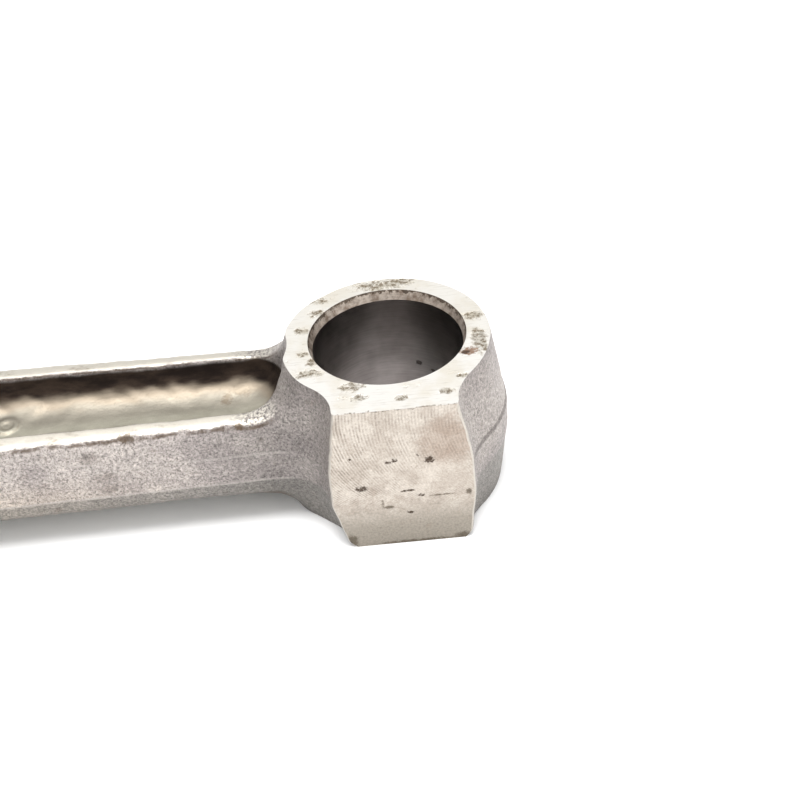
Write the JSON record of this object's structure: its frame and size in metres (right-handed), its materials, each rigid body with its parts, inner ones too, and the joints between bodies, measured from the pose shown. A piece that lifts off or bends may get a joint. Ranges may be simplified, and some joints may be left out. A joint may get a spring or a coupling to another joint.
{
  "type": "connecting rod",
  "caption": "Forged I-beam connecting rod with bored small end, side locating pad, bolted big-end cap and half bearing shells.",
  "frame": {"origin": "centre of the small-end bore, halfway between the machined side faces", "axes": "+Z along the small-end and big-end bore axes, -X along the shank towards the big end, -Y towards the machined locating pad on the side of the small end"},
  "size_m": [0.1679, 0.0694, 0.0228],
  "materials": {
    "forged_steel": "shot-blasted forged steel with machined faces",
    "bolt_steel": "dark phosphate, rolled thread",
    "nut_steel": "dark phosphate",
    "bearing_metal": "fine-turned bearing surface"
  },
  "bodies": {
    "rod": {"rod_body": "forged_steel", "cap_bolt_a": "bolt_steel", "cap_bolt_b": "bolt_steel"},
    "cap": {"big_end_cap": "forged_steel"},
    "nut_a": {"cap_nut_a": "nut_steel"},
    "nut_b": {"cap_nut_b": "nut_steel"},
    "upper_shell": {"upper_bearing_shell": "bearing_metal"},
    "lower_shell": {"lower_bearing_shell": "bearing_metal"}
  },
  "joints": [
    {"name": "cap_slide", "type": "slide", "parent": "rod", "child": "cap", "axis": [-1, 0, 0], "range_m": [0, 0.036]},
    {"name": "nut_a_spin", "type": "hinge", "parent": "cap", "child": "nut_a", "pos_m": [-0.1415, 0.0275, 0], "axis": [-1, 0, 0], "range_deg": [0, 12960]},
    {"name": "nut_b_spin", "type": "hinge", "parent": "cap", "child": "nut_b", "pos_m": [-0.1415, -0.0275, 0], "axis": [-1, 0, 0], "range_deg": [0, 12960]},
    {"name": "upper_shell_lift", "type": "slide", "parent": "rod", "child": "upper_shell", "axis": [-1, 0, 0], "range_m": [0, 0.0072]},
    {"name": "lower_shell_lift", "type": "slide", "parent": "cap", "child": "lower_shell", "axis": [1, 0, 0], "range_m": [0, 0.0144]}
  ],
  "couplings": [
    {"joint": "nut_a_spin", "follows": "cap_slide", "rad_per_m": 6283.2},
    {"joint": "nut_b_spin", "follows": "cap_slide", "rad_per_m": 6283.2},
    {"joint": "upper_shell_lift", "follows": "cap_slide", "ratio": 0.2},
    {"joint": "lower_shell_lift", "follows": "cap_slide", "ratio": 0.4}
  ]
}
